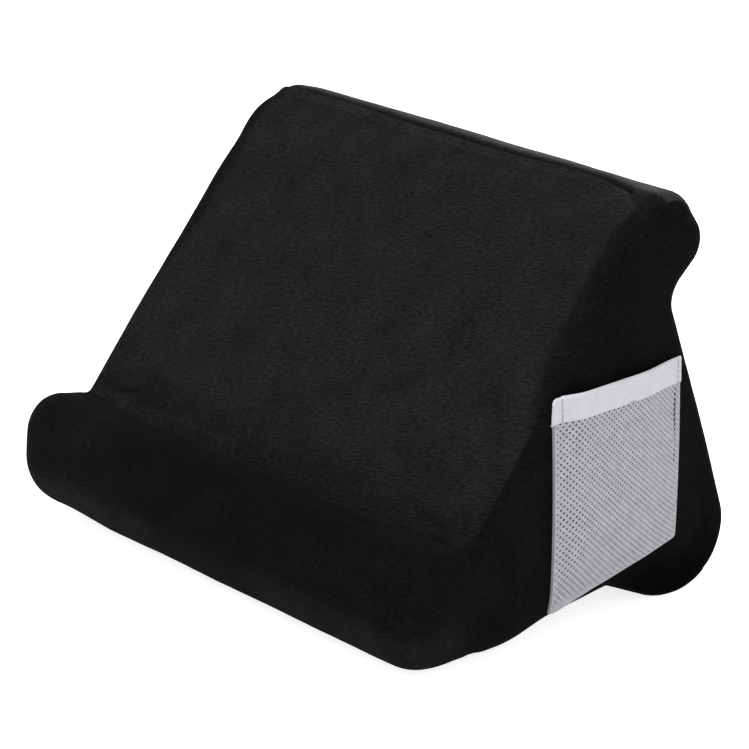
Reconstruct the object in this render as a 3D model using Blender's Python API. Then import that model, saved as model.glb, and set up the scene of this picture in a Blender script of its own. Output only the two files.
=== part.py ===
# Tablet cushion stand: one three-lobed block of foam in a sewn plush cover, with a net
# pocket on its right end and a zip low on its back through which the foam goes in.
# Metres. X is the width, -Y the front with the lip, +Z up. The origin is the middle of
# the bottom of the whole box, and the stand rests on flats under its two lower lobes.

import math

import bmesh
import bpy
from mathutils import Matrix, Vector

# Body, over the cover
BODY_WIDTH = 0.290
BODY_DEPTH = 0.219
BODY_HEIGHT = 0.205
END_CROWN = 0.0025           # how far each end panel swells at the height of the pocket
CROWN_REACH = 0.022          # how far in from the end the swelling starts
REST_CUT = 0.0005            # depth of the flats that the soft lobes rest on
CREASE_LIFT = 0.005          # how much higher the cloth bridges the crease near the ends
LIFT_RUN = 0.028             # length of cloth over which it rises

# Corners of the side outline, clockwise seen from the right: name, share of the depth,
# share of the height
CORNER_SHARES = (
    ("toe", -0.005, -0.0362), ("lip", 0.005, 0.362), ("crease", 0.191, 0.280),
    ("brow", 0.683, 0.932), ("nose", 0.852, 1.033), ("tip", 0.926, 0.848),
    ("notch", 0.809, 0.757), ("heel", 1.026, 0.090), ("foot", 0.847, -0.029),
    ("arch", 0.633, 0.079),
)
TOE_RADIUS = 0.037
LIP_RADIUS = 0.0178
CREASE_RADIUS = 0.004
BROW_RADIUS = 0.0416
NOSE_RADIUS = 0.0182
TIP_RADIUS = 0.0164
NOTCH_RADIUS = 0.0126
HEEL_RADIUS = 0.0283
FOOT_RADIUS = 0.040
ARCH_RADIUS = 0.0078

# Rounding of the edge between the outline and each end, at each corner
TOE_END = 0.016
LIP_END = 0.015
CREASE_END = 0.0065
BROW_END = 0.009
NOSE_END = 0.012
TIP_END = 0.008
NOTCH_END = 0.007
HEEL_END = 0.0065
FOOT_END = 0.0055
ARCH_END = 0.0055

# Cover
PLUSH = 0.002                # cloth with its pile
FIT_GAP = 0.0003             # between pieces that touch
SEAM_GAP = 0.0003            # between the edges of two panels
SEAM_DIP = 0.0008            # how far a seam draws the cloth in
SEAM_RUN = 0.006             # width of the drawn-in strip beside a seam
FRONT_SEAM_SETBACK = 0.012   # seam under the front lobe, behind the flat
TOP_SEAM_SHARE = 0.17        # place of the top seam along the nose's arc
SEAM_ANGLE = math.radians(45)

# Zip, a coil zip let into the seam above the rear lobe
ZIP_RISE = 0.016             # above the end of the rear lobe's arc
ZIP_INSET = 0.038            # from each end of the body to the end of the coils
TAPE_WIDTH = 0.011
TAPE_THICKNESS = 0.0005
TAPE_TAIL = 0.008            # tape beyond the coils at each end
CHAIN_GAP = 0.0011           # between the two tapes and the two coils
COIL_WIDTH = 0.00175
COIL_HEIGHT = 0.0013
SLIDER_LENGTH = 0.0095
SLIDER_WIDTH = 0.0074
SLIDER_WAIST = 0.0058        # width at its narrow rear end
PLATE_THICKNESS = 0.0009
WEDGE_LENGTH = 0.0026
WEDGE_THICKNESS = 0.0005
SLIDER_CLEARANCE = 0.0005
BRIDGE_LENGTH = 0.0046
BRIDGE_WIDTH = 0.0014
BRIDGE_THICKNESS = 0.0007
PULL_LENGTH = 0.020
PULL_WIDTH = 0.005
PULL_NECK = 0.0044
PULL_THICKNESS = 0.0008
TACK_LENGTH = 0.0022
TACK_HEIGHT = 0.0009
SLOT_MARGIN = 0.0012         # opening in the cover beyond the coils
SLOT_TAPER = 0.003

# Pocket on the right end: places of its sides as shares of the depth, of its mouth and
# of its lower corners as shares of the height
POCKET_FRONT_SHARE = 0.4445
POCKET_REAR_SHARE = 0.821
POCKET_TOP_SHARE = 0.612
POCKET_LOW_FRONT_SHARE = 0.070
POCKET_LOW_REAR_SHARE = 0.158
BINDING_WIDTH = 0.004
BINDING_THICKNESS = 0.0012
BAND_HEIGHT = 0.0135
BAND_THICKNESS = 0.0014
NET_THICKNESS = 0.0008
NET_STRAND = 0.0016
NET_HALF_CELLS = 20          # half cells of the net, across and down
POCKET_BULGE = 0.0046        # how far the slack net stands off its sewn edges
FRONT_RISE_SHARE = 0.10
REAR_FALL_SHARE = 0.38
LOW_FALL_SHARE = 0.22

# Fineness of the curved surfaces
ARC_STEP = math.radians(14)
LEG_RUN = 0.030
LEG_FILL_SHARE = 0.98
SLICE_HEIGHT = 0.020
COIL_SIDES = 8
FLAT_END = 0.999             # least x part of the normal of a flat end
BORE_SLACK = 0.001           # overrun of a cutter

HALF = BODY_WIDTH / 2
ZIP_LENGTH = BODY_WIDTH - 2 * ZIP_INSET
RADII = (TOE_RADIUS, LIP_RADIUS, CREASE_RADIUS, BROW_RADIUS, NOSE_RADIUS, TIP_RADIUS,
         NOTCH_RADIUS, HEEL_RADIUS, FOOT_RADIUS, ARCH_RADIUS)
END_RADII = (TOE_END, LIP_END, CREASE_END, BROW_END, NOSE_END, TIP_END,
             NOTCH_END, HEEL_END, FOOT_END, ARCH_END)
NAMES = [corner[0] for corner in CORNER_SHARES]
CREASE = NAMES.index("crease")

# Legs and arcs of the outline are numbered in turn: leg before corner i is 2i, its arc 2i+1
TOE_LEG = 2 * NAMES.index("toe")
NOSE_ARC = 2 * NAMES.index("nose") + 1
HEEL_LEG = 2 * NAMES.index("heel")

POCKET_PROUD = 2 * FIT_GAP + BINDING_THICKNESS + POCKET_BULGE + NET_THICKNESS
CENTRE_X = -POCKET_PROUD / 2


def smooth(value):
    """Ease from 0 to 1."""
    value = min(max(value, 0.0), 1.0)
    return value * value * (3 - 2 * value)


# Side outline

def outline(lift):
    """Legs and arcs of the side outline, with the crease raised up the slope by lift."""
    corners = [Vector((y * BODY_DEPTH, z * BODY_HEIGHT)) for _, y, z in CORNER_SHARES]
    up = (corners[CREASE + 1] - corners[CREASE]).normalized()
    corners[CREASE] = corners[CREASE] + up * lift
    count = len(corners)
    legs = [corners[i] - corners[i - 1] for i in range(count)]
    turns = [legs[(i + 1) % count].angle_signed(legs[i]) for i in range(count)]
    slopes = [math.tan(abs(turn) / 2) for turn in turns]
    setbacks = [radius * slope for radius, slope in zip(RADII, slopes)]
    fills = [min(1.0, LEG_FILL_SHARE * legs[i].length / (setbacks[i - 1] + setbacks[i]))
             for i in range(count)]
    setbacks = [setbacks[i] * min(fills[i], fills[(i + 1) % count]) for i in range(count)]
    parts = []
    for i in range(count):
        along = legs[i].normalized()
        normal = Vector((-along.y, along.x))
        start = corners[i - 1] + along * setbacks[i - 1]
        end = corners[i] - along * setbacks[i]
        parts.append(("leg", start, end, normal, END_RADII[i - 1], END_RADII[i]))
        bend = math.copysign(setbacks[i] / slopes[i], turns[i])
        parts.append(("arc", end + normal * bend, bend, normal, turns[i], END_RADII[i]))
    return parts


def locate(parts, place):
    """Point, outward normal and end rounding at a place (part number, share) of the outline."""
    part = parts[place[0] % len(parts)]
    if part[0] == "leg":
        _, start, end, normal, end_a, end_b = part
        return start.lerp(end, place[1]), normal, end_a + (end_b - end_a) * place[1]
    _, centre, bend, normal, turn, end_radius = part
    normal = Matrix.Rotation(turn * place[1], 2) @ normal
    return centre - normal * bend, normal, end_radius


def length_of(part):
    """Length of a leg or an arc."""
    return (part[2] - part[1]).length if part[0] == "leg" else abs(part[2] * part[4])


FLAT_OUTLINE = outline(0)
LIFTED_OUTLINE = outline(CREASE_LIFT)


def samples(first, last):
    """Places along the outline from one seam to another, close enough for its curves."""
    if last[0] < first[0]:
        last = (last[0] + len(FLAT_OUTLINE), last[1])
    places = []
    for number in range(first[0], last[0] + 1):
        part = FLAT_OUTLINE[number % len(FLAT_OUTLINE)]
        low = first[1] if number == first[0] else 0.0
        high = last[1] if number == last[0] else 1.0
        span = length_of(part) * (high - low)
        if part[0] == "leg":
            steps = max(1, round(span / LEG_RUN))
        else:
            steps = max(1, math.ceil(abs(part[4]) * (high - low) / ARC_STEP))
        places += [(number, low + (high - low) * step / steps) for step in range(steps)]
    return places + [last]


def shifted(place, distance):
    """The place that lies a distance further along the outline."""
    number, share = place
    count = len(FLAT_OUTLINE)
    run = length_of(FLAT_OUTLINE[number % count])
    along = share * run + distance
    while along < 0:
        number -= 1
        run = length_of(FLAT_OUTLINE[number % count])
        along += run
    while along > run:
        along -= run
        number += 1
        run = length_of(FLAT_OUTLINE[number % count])
    return (number, along / run)


def height_at(place):
    return locate(FLAT_OUTLINE, place)[0].y


OUTLINE_DENSE = samples((0, 0.0), (len(FLAT_OUTLINE) - 1, 1.0))
DENSE_POINTS = [locate(FLAT_OUTLINE, place)[0] for place in OUTLINE_DENSE]
FLOOR = min(point.y for point in DENSE_POINTS) + REST_CUT
CENTRE_Y = (min(point.x for point in DENSE_POINTS) + max(point.x for point in DENSE_POINTS)) / 2

FRONT_SEAM = shifted((TOE_LEG, 1.0), -FRONT_SEAM_SETBACK)
TOP_SEAM = (NOSE_ARC, TOP_SEAM_SHARE)
ZIP_SEAM = shifted((HEEL_LEG, 1.0), -ZIP_RISE)


def with_flats(places):
    """The same places, with one more wherever the outline dips below the floor."""
    result = [places[0]]
    for before, after in zip(places, places[1:]):
        if (height_at(before) - FLOOR) * (height_at(after) - FLOOR) < 0:
            low, high = before, (before[0], 1.0 if after[0] != before[0] else after[1])
            for _ in range(COIL_SIDES * 4):
                middle = (low[0], (low[1] + high[1]) / 2)
                same = (height_at(middle) - FLOOR) * (height_at(before) - FLOOR) > 0
                low, high = (middle, high) if same else (low, middle)
            result.append(low)
        result.append(after)
    return result


def panel_places(first, last):
    """Places for one panel, with a row beside each of its two seams for the drawn-in strip."""
    places = samples(first, last)
    inner = samples(shifted(first, SEAM_RUN), shifted(places[-1], -SEAM_RUN))
    return with_flats([places[0]] + inner + [places[-1]])


FRONT_PLACES = panel_places(FRONT_SEAM, TOP_SEAM)
BACK_PLACES = panel_places(TOP_SEAM, ZIP_SEAM)
BOTTOM_PLACES = panel_places(ZIP_SEAM, FRONT_SEAM)
ALL_PLACES = FRONT_PLACES[:-1] + BACK_PLACES[:-1] + BOTTOM_PLACES[:-1]


# From the straight block to the settled, swollen one

def settle(point):
    """Move a point of the straight block to its place on the swollen one, on the floor."""
    x, y, z = point
    z = max(z, FLOOR)
    reach = smooth((abs(x) - (HALF - CROWN_REACH)) / CROWN_REACH)
    middle = (POCKET_TOP_SHARE + POCKET_LOW_FRONT_SHARE) / 2 * BODY_HEIGHT
    spread = (POCKET_TOP_SHARE - POCKET_LOW_FRONT_SHARE) * BODY_HEIGHT
    crown = END_CROWN * (1 - smooth(abs(z - middle) / spread))
    return Vector((x + math.copysign(crown * reach, x) + CENTRE_X, y - CENTRE_Y, z - FLOOR))


def lift_at(x):
    """How far the cloth is raised over the crease at a place across the width."""
    full = HALF - CROWN_REACH
    return CREASE_LIFT * smooth((abs(x) - (full - LIFT_RUN)) / LIFT_RUN)


def cloth_ring(places, side, angle, depth, parts=LIFTED_OUTLINE):
    """Points round the end edge at an angle from the outline's surface, at a depth in the cloth."""
    ring = []
    for number, place in enumerate(places):
        point, normal, radius = locate(parts, place)
        inner = radius - (depth(number, places) if callable(depth) else depth)
        x = side * (HALF - radius + inner * math.sin(angle(radius)))
        point = point - normal * (radius - inner * math.cos(angle(radius)))
        ring.append(Vector((x, point.x, point.y)))
    return ring


def cloth_row(places, x, depth, parts=None):
    """Points across the body at one place of the width, at a depth in the cloth."""
    parts = parts or outline(lift_at(x))
    row = []
    for number, place in enumerate(places):
        point, normal, _ = locate(parts, place)
        point = point - normal * (depth(number, places) if callable(depth) else depth)
        row.append(Vector((x, point.x, point.y)))
    return row


def dip_at_seams(number, places):
    """Depth of a panel's outer face: drawn in at its first and last place."""
    return SEAM_DIP if number in (0, len(places) - 1) else 0.0


# Mesh helpers

def loft(rings, strip_ends):
    """A closed solid through matching rings of points; a strip end is a thin folded ring."""
    mesh = bmesh.new()
    loops = [[mesh.verts.new(point) for point in ring] for ring in rings]
    count = len(loops[0])
    for near, far in zip(loops, loops[1:]):
        for i in range(count):
            j = (i + 1) % count
            mesh.faces.new((near[i], near[j], far[j], far[i]))
    for loop in (loops[0], loops[-1]):
        if strip_ends:
            for i in range(count // 2 - 1):
                mesh.faces.new((loop[i], loop[i + 1], loop[-i - 2], loop[-i - 1]))
        else:
            cap = mesh.faces.new(loop)
            cap.normal_update()
            bmesh.ops.triangulate(mesh, faces=[cap])
    bmesh.ops.recalc_face_normals(mesh, faces=mesh.faces)
    return mesh


def slice_level(mesh):
    """Cut level lines into the flat ends, so that they can follow the swelling."""
    z = SLICE_HEIGHT
    while z < BODY_HEIGHT:
        faces = [face for face in mesh.faces if abs(face.normal.x) > FLAT_END]
        edges = {edge for face in faces for edge in face.edges}
        geometry = list({vertex for face in faces for vertex in face.verts} | edges) + faces
        bmesh.ops.bisect_plane(mesh, geom=geometry, plane_co=(0, 0, z), plane_no=(0, 0, 1),
                               dist=FIT_GAP / 10)
        z += SLICE_HEIGHT


def settle_mesh(mesh):
    for vertex in mesh.verts:
        vertex.co = settle(vertex.co)


def cloth_material(name, colour, roughness, metallic):
    material = bpy.data.materials.new(name)
    material.use_nodes = True
    shader = material.node_tree.nodes["Principled BSDF"]
    shader.inputs["Base Color"].default_value = (*colour, 1)
    shader.inputs["Roughness"].default_value = roughness
    shader.inputs["Metallic"].default_value = metallic
    return material


def add_object(name, mesh, material, parent=None, location=(0, 0, 0)):
    """Turn a bmesh into a named object with its own material."""
    data = bpy.data.meshes.new(name)
    mesh.to_mesh(data)
    mesh.free()
    data.materials.append(material)
    data.shade_smooth()
    data.set_sharp_from_angle(angle=math.radians(35))
    piece = bpy.data.objects.new(name, data)
    bpy.context.scene.collection.objects.link(piece)
    piece.parent = parent
    piece.location = location
    return piece


def block(x_range, y_range, z_range):
    """A box between three pairs of limits."""
    corners = [(y_range[i], z_range[j]) for i, j in ((0, 0), (1, 0), (1, 1), (0, 1))]
    return loft([[Vector((x, y, z)) for y, z in corners] for x in x_range], False)


def prism(outline_points, low, high):
    """A flat outline, given in x and y, between two heights."""
    return loft([[Vector((x, y, z)) for x, y in outline_points] for z in (low, high)], False)


def boolean(piece, tool_mesh, name, operation):
    """Join or cut a piece with a hidden tool that shares its parent and place."""
    tool = add_object(name, tool_mesh, piece.data.materials[0], piece.parent, piece.location)
    tool.hide_render = True
    tool.display_type = "WIRE"
    modifier = piece.modifiers.new(name, "BOOLEAN")
    modifier.operation = operation
    modifier.solver = "EXACT"
    modifier.object = tool


# Cover panels

def seam_angle_wrap(radius):
    return SEAM_ANGLE - SEAM_GAP / 2 / (radius - PLUSH)


def seam_angle_end(radius):
    return SEAM_ANGLE + SEAM_GAP / 2 / (radius - PLUSH)


def share_angle(share):
    """Angle between the outline's surface and the seam, or between the seam and the end."""
    return lambda radius: SEAM_ANGLE * share


def trimmed(places, x, first_gap, last_gap):
    """Pull the two seam edges of a panel back by their gaps at one place of the width."""
    moved = list(places)
    moved[0] = shifted(places[0], first_gap(x))
    moved[-1] = shifted(places[-1], -last_gap(x))
    return moved


def plain_gap(x):
    return SEAM_GAP / 2


SLOT_HALF = ZIP_LENGTH / 2 + SLOT_MARGIN
SLOT_OPENING = SLIDER_WIDTH / 2 + SLIDER_CLEARANCE


def zip_gap(x):
    """Half of the opening in the cover: wide along the zip, closed past its ends."""
    closed = smooth((abs(x) - SLOT_HALF) / SLOT_TAPER)
    return SLOT_OPENING + (SEAM_GAP / 2 - SLOT_OPENING) * closed


def wrap_panel(name, places, first_gap, last_gap, material):
    """A panel that runs along the outline, from one end seam to the other."""
    full = HALF - CROWN_REACH
    stations = [full, SLOT_HALF + SLOT_TAPER, SLOT_HALF, full - LIFT_RUN, HALF / 3]
    stations = sorted(stations + [-x for x in stations] + [0.0])
    left, right = [], []
    for side, rings in ((-1, left), (1, right)):
        cut = trimmed(places, HALF, first_gap, last_gap)
        for angle, depth in ((seam_angle_wrap, SEAM_DIP), (share_angle(0.5), dip_at_seams),
                             (share_angle(0), dip_at_seams)):
            inside = cloth_ring(cut, side, angle, PLUSH)
            rings.append(cloth_ring(cut, side, angle, depth) + inside[::-1])
    middle = []
    for x in stations:
        cut = trimmed(places, x, first_gap, last_gap)
        middle.append(cloth_row(cut, x, dip_at_seams) + cloth_row(cut, x, PLUSH)[::-1])
    mesh = loft(left + middle + right[::-1], True)
    settle_mesh(mesh)
    return add_object(name, mesh, material)


def end_panel(name, side, material):
    """A gusset: its rounded rim meets the other panels at the end seam."""
    rings = [cloth_ring(ALL_PLACES, side, share_angle(2), PLUSH),
             cloth_ring(ALL_PLACES, side, share_angle(1.5), PLUSH),
             cloth_ring(ALL_PLACES, side, seam_angle_end, PLUSH),
             cloth_ring(ALL_PLACES, side, seam_angle_end, SEAM_DIP),
             cloth_ring(ALL_PLACES, side, share_angle(1.5), 0),
             cloth_ring(ALL_PLACES, side, share_angle(2), 0)]
    mesh = loft(rings, False)
    slice_level(mesh)
    settle_mesh(mesh)
    return add_object(name, mesh, material)


def foam_core(frame):
    """One wire-cut block, a fit gap inside the cover, with a bed cut for the zip."""
    depth = PLUSH + FIT_GAP
    full = HALF - CROWN_REACH
    left, right = [[cloth_ring(ALL_PLACES, side, share_angle(share), depth, FLAT_OUTLINE)
                    for share in (2, 1, 0)] for side in (-1, 1)]
    middle = [cloth_row(ALL_PLACES, x, depth, FLAT_OUTLINE) for x in (-full, full)]
    mesh = loft(left + middle + right[::-1], False)
    slice_level(mesh)
    settle_mesh(mesh)
    core = add_object("foam_core", mesh, FOAM)
    bed = block((-TAPE_HALF - FIT_GAP, TAPE_HALF + FIT_GAP),
                (-TAPE_REACH - FIT_GAP, TAPE_REACH + FIT_GAP),
                (-BED_DEPTH, BORE_SLACK - PLUSH))
    bed.transform(frame)
    boolean(core, bed, "zip_bed", "DIFFERENCE")


# Zip. Its own frame lies on the cover's surface: x towards the left end, y up the back,
# z outwards

TAPE_TOP = -PLUSH - FIT_GAP
TAPE_LOW = TAPE_TOP - TAPE_THICKNESS
TAPE_HALF = ZIP_LENGTH / 2 + TAPE_TAIL
TAPE_REACH = CHAIN_GAP / 2 + TAPE_WIDTH
COIL_LOW = TAPE_TOP + FIT_GAP
COIL_TOP = COIL_LOW + COIL_HEIGHT
LOWER_PLATE_TOP = TAPE_LOW - FIT_GAP
LOWER_PLATE_LOW = LOWER_PLATE_TOP - PLATE_THICKNESS
BED_DEPTH = -LOWER_PLATE_LOW + FIT_GAP
UPPER_PLATE_LOW = COIL_TOP + FIT_GAP
UPPER_PLATE_TOP = UPPER_PLATE_LOW + PLATE_THICKNESS
PULL_CORNER = PULL_THICKNESS / math.sqrt(2)
HINGE_HEIGHT = UPPER_PLATE_TOP + FIT_GAP + PULL_CORNER
BRIDGE_INNER = HINGE_HEIGHT + PULL_CORNER + FIT_GAP
SLIDER_TRAVEL = ZIP_LENGTH - 2 * (TACK_LENGTH + SLIDER_CLEARANCE) - SLIDER_LENGTH


def zip_frame():
    """An empty on the back seam, turned so that its z axis is the cover's outward normal."""
    point, normal, _ = locate(FLAT_OUTLINE, ZIP_SEAM)
    out = Vector((0, normal.x, normal.y))
    left = Vector((-1, 0, 0))
    place = Matrix((left, out.cross(left), out)).transposed().to_4x4()
    place.translation = settle(Vector((0, point.x, point.y)))
    empty = bpy.data.objects.new("zip_frame", None)
    bpy.context.scene.collection.objects.link(empty)
    empty.matrix_world = place
    return empty, place


def zip_sides(parent):
    """The two tapes and the two coils on them."""
    for side, end in ((1, "upper"), (-1, "lower")):
        inner = side * CHAIN_GAP / 2
        tape = block((-TAPE_HALF, TAPE_HALF), sorted((inner, side * TAPE_REACH)),
                     (TAPE_LOW, TAPE_TOP))
        add_object("zip_tape_" + end, tape, TAPE, parent)
        middle = inner + side * COIL_WIDTH / 2
        section = [(middle + COIL_WIDTH / 2 * math.cos(turn), COIL_LOW + COIL_HEIGHT / 2
                    * (1 + math.sin(turn))) for turn in
                   (2 * math.pi * (k + 0.5) / COIL_SIDES for k in range(COIL_SIDES))]
        rings = [[Vector((x, y, z)) for y, z in section]
                 for x in (-ZIP_LENGTH / 2, ZIP_LENGTH / 2)]
        add_object("zip_coil_" + end, loft(rings, False), COIL, parent)


def end_tacks(parent):
    """Bar tacks of thread across the coils, which stop the slider."""
    reach = CHAIN_GAP / 2 + COIL_WIDTH
    for side, end in ((-1, "closed"), (1, "open")):
        limits = sorted((side * ZIP_LENGTH / 2, side * (ZIP_LENGTH / 2 - TACK_LENGTH)))
        bar = block(limits, (-reach, reach), (COIL_TOP + FIT_GAP, COIL_TOP + FIT_GAP + TACK_HEIGHT))
        add_object("zip_end_tack_" + end, bar, THREAD, parent)


def slider_outline():
    """Shield shape: full width at the shoulders, narrower at the rear."""
    nose = SLIDER_LENGTH / 2
    return [(-nose, -SLIDER_WAIST / 2), (-nose + SLIDER_LENGTH / 6, -SLIDER_WIDTH / 2),
            (nose / 3, -SLIDER_WIDTH / 2), (nose, -SLIDER_WAIST / 2),
            (nose, SLIDER_WAIST / 2), (nose / 3, SLIDER_WIDTH / 2),
            (-nose + SLIDER_LENGTH / 6, SLIDER_WIDTH / 2), (-nose, SLIDER_WAIST / 2)]


def slider(parent):
    """Two plates round the chain, joined by the wedge, with flanges and a bridge."""
    location = (-SLIDER_TRAVEL / 2, 0, 0)
    body = add_object("zip_slider", prism(slider_outline(), UPPER_PLATE_LOW, UPPER_PLATE_TOP),
                      DIE_CAST, parent, location)
    lower = prism(slider_outline(), LOWER_PLATE_LOW, LOWER_PLATE_TOP)
    boolean(body, lower, "slider_lower_plate", "UNION")
    wedge_end = -SLIDER_LENGTH / 2 + SLIDER_LENGTH / 12
    wedge = block((wedge_end, wedge_end + WEDGE_LENGTH),
                  (-WEDGE_THICKNESS / 2, WEDGE_THICKNESS / 2),
                  (LOWER_PLATE_TOP - PLATE_THICKNESS / 2, UPPER_PLATE_LOW + PLATE_THICKNESS / 2))
    boolean(body, wedge, "slider_wedge", "UNION")
    for side, end in ((1, "upper"), (-1, "lower")):
        inner = CHAIN_GAP / 2 + COIL_WIDTH + FIT_GAP
        outer = SLIDER_WIDTH / 2
        flange = block((-SLIDER_LENGTH / 4, SLIDER_LENGTH / 6), sorted((side * inner, side * outer)),
                       (TAPE_TOP + FIT_GAP, UPPER_PLATE_LOW + PLATE_THICKNESS / 2))
        boolean(body, flange, "slider_flange_" + end, "UNION")
    boolean(body, bridge_mesh(), "slider_bridge", "UNION")
    return body


def bridge_mesh():
    """The arch over the slider's back that holds the pull tab's bar."""
    half = BRIDGE_LENGTH / 2
    foot = UPPER_PLATE_TOP - PLATE_THICKNESS / 2
    top = BRIDGE_INNER + BRIDGE_THICKNESS
    side = [(-half, foot), (-half, BRIDGE_INNER), (-half + BRIDGE_THICKNESS, top),
            (half - BRIDGE_THICKNESS, top), (half, BRIDGE_INNER), (half, foot),
            (half - BRIDGE_THICKNESS, foot), (half - BRIDGE_THICKNESS, BRIDGE_INNER),
            (-half + BRIDGE_THICKNESS, BRIDGE_INNER), (-half + BRIDGE_THICKNESS, foot)]
    return loft([[Vector((x, y, z)) for x, z in side]
                 for y in (-BRIDGE_WIDTH / 2, BRIDGE_WIDTH / 2)], False)


def pull_tab(parent):
    """A flat tab with an eye round the bridge; its bar lies on the hinge axis."""
    bar = PULL_THICKNESS / 2
    end = PULL_LENGTH - PULL_WIDTH / 2
    arc = [math.radians(90 - 180 * k / COIL_SIDES) for k in range(COIL_SIDES + 1)]
    tip = [(end + PULL_WIDTH / 2 * math.cos(turn), PULL_WIDTH / 2 * math.sin(turn))
           for turn in arc]
    shoulder = BRIDGE_LENGTH
    shape = [(-bar, -PULL_NECK / 2), (-bar, PULL_NECK / 2), (shoulder, PULL_NECK / 2)]
    shape += [(shoulder + PULL_WIDTH / 2, PULL_WIDTH / 2)] + tip
    shape += [(shoulder + PULL_WIDTH / 2, -PULL_WIDTH / 2), (shoulder, -PULL_NECK / 2)]
    tab = add_object("zip_pull_tab", prism(shape, -bar, bar), DIE_CAST, parent,
                     (0, 0, HINGE_HEIGHT))
    eye_half = BRIDGE_WIDTH / 2 + FIT_GAP
    eye = block((bar, BRIDGE_LENGTH / 2 + 2 * FIT_GAP), (-eye_half, eye_half),
                (-bar - BORE_SLACK, bar + BORE_SLACK))
    boolean(tab, eye, "pull_eye", "DIFFERENCE")


# Pocket. Across it u runs from the front side to the rear one, down it v from the mouth

POCKET_FRONT = POCKET_FRONT_SHARE * BODY_DEPTH
POCKET_REAR = POCKET_REAR_SHARE * BODY_DEPTH
POCKET_TOP = POCKET_TOP_SHARE * BODY_HEIGHT
POCKET_WIDTH = POCKET_REAR - POCKET_FRONT
BINDING_LOW = HALF + FIT_GAP
BINDING_TOP = BINDING_LOW + BINDING_THICKNESS
NET_LOW = BINDING_TOP + FIT_GAP


def pocket_floor(u):
    """Height of the pocket's lower edge."""
    share = POCKET_LOW_FRONT_SHARE + (POCKET_LOW_REAR_SHARE - POCKET_LOW_FRONT_SHARE) * u
    return share * BODY_HEIGHT


def stand_off(u, v):
    """How far the slack net stands out beyond its sewn edges."""
    across = smooth(u / FRONT_RISE_SHARE) * (1 - smooth((u - 1 + REAR_FALL_SHARE) / REAR_FALL_SHARE))
    return POCKET_BULGE * across * (1 - smooth((v - 1 + LOW_FALL_SHARE) / LOW_FALL_SHARE))


def pocket_point(u, drop, base):
    """A point at u across and a length of drop below the mouth, on the net's curve or flat."""
    z = POCKET_TOP - drop
    v = drop / (POCKET_TOP - pocket_floor(u))
    x = base + (stand_off(u, v) if base >= NET_LOW else 0)
    return Vector((x, POCKET_FRONT + u * POCKET_WIDTH, z))


def strip(name, across, low_drop, high_drop, steps, base, thickness, material):
    """A strip of the pocket between two drops, which may depend on u."""
    rings = []
    for step in range(steps + 1):
        near, far = [], []
        for u in across:
            drop = low_drop(u) + (high_drop(u) - low_drop(u)) * step / steps
            near.append(pocket_point(u, drop, base))
            far.append(pocket_point(u, drop, base) + Vector((thickness, 0, 0)))
        rings.append(near + far[::-1])
    mesh = loft(rings, True)
    settle_mesh(mesh)
    add_object(name, mesh, material)


def pocket_bindings():
    """Turned edges that hold the pocket's front, rear and lower sides on the end panel."""
    side = BINDING_WIDTH / POCKET_WIDTH
    steps = round(POCKET_TOP / SLICE_HEIGHT) * 2

    def whole(u):
        return POCKET_TOP - pocket_floor(u)

    strip("pocket_front_binding", (0, side), lambda u: 0, whole, steps,
          BINDING_LOW, BINDING_THICKNESS, BINDING)
    strip("pocket_rear_binding", (1 - side, 1), lambda u: 0, whole, steps,
          BINDING_LOW, BINDING_THICKNESS, BINDING)
    gap = FIT_GAP / POCKET_WIDTH
    strip("pocket_bottom_binding", (side + gap, 0.5, 1 - side - gap),
          lambda u: whole(u) - BINDING_WIDTH, whole, 1, BINDING_LOW, BINDING_THICKNESS, BINDING)


def pocket_band():
    """The folded band over the net's top edge, which is the pocket's mouth."""
    across = [k / NET_HALF_CELLS for k in range(NET_HALF_CELLS + 1)]
    strip("pocket_top_band", across, lambda u: 0, lambda u: BAND_HEIGHT, 2,
          NET_LOW, BAND_THICKNESS, BAND)


def pocket_net():
    """A flat net of staggered, diamond-shaped gaps, on the slack curve of the pocket."""
    top = BAND_HEIGHT + FIT_GAP
    cells = NET_HALF_CELLS
    mesh = bmesh.new()

    def knot(i, j):
        u = i / cells
        drop = top + (POCKET_TOP - pocket_floor(u) - top) * j / cells
        return (0, POCKET_FRONT + u * POCKET_WIDTH, POCKET_TOP - drop)

    knots = {(i, j): mesh.verts.new(knot(i, j))
             for i in range(cells + 1) for j in range(cells + 1) if (i + j) % 2 == 0}
    gaps = []
    for i in range(cells + 1):
        for j in range(cells + 1):
            if (i + j) % 2 == 0:
                continue
            around = [(i - 1, j), (i, j + 1), (i + 1, j), (i, j - 1)]
            face = mesh.faces.new([knots[k] for k in around if k in knots])
            if len(face.verts) == 4:
                gaps.append(face)
    bmesh.ops.recalc_face_normals(mesh, faces=mesh.faces)
    bmesh.ops.inset_individual(mesh, faces=gaps, thickness=NET_STRAND / 2,
                               use_even_offset=True)
    bmesh.ops.delete(mesh, geom=gaps, context="FACES")
    for vertex in mesh.verts:
        _, y, z = vertex.co
        vertex.co = pocket_point((y - POCKET_FRONT) / POCKET_WIDTH, POCKET_TOP - z, NET_LOW)
    far = bmesh.ops.extrude_face_region(mesh, geom=mesh.faces[:])["geom"]
    bmesh.ops.translate(mesh, verts=[v for v in far if isinstance(v, bmesh.types.BMVert)],
                        vec=(NET_THICKNESS, 0, 0))
    bmesh.ops.recalc_face_normals(mesh, faces=mesh.faces)
    settle_mesh(mesh)
    add_object("pocket_net", mesh, NET)


# Build

for thing in list(bpy.data.objects):
    bpy.data.objects.remove(thing)

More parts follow.
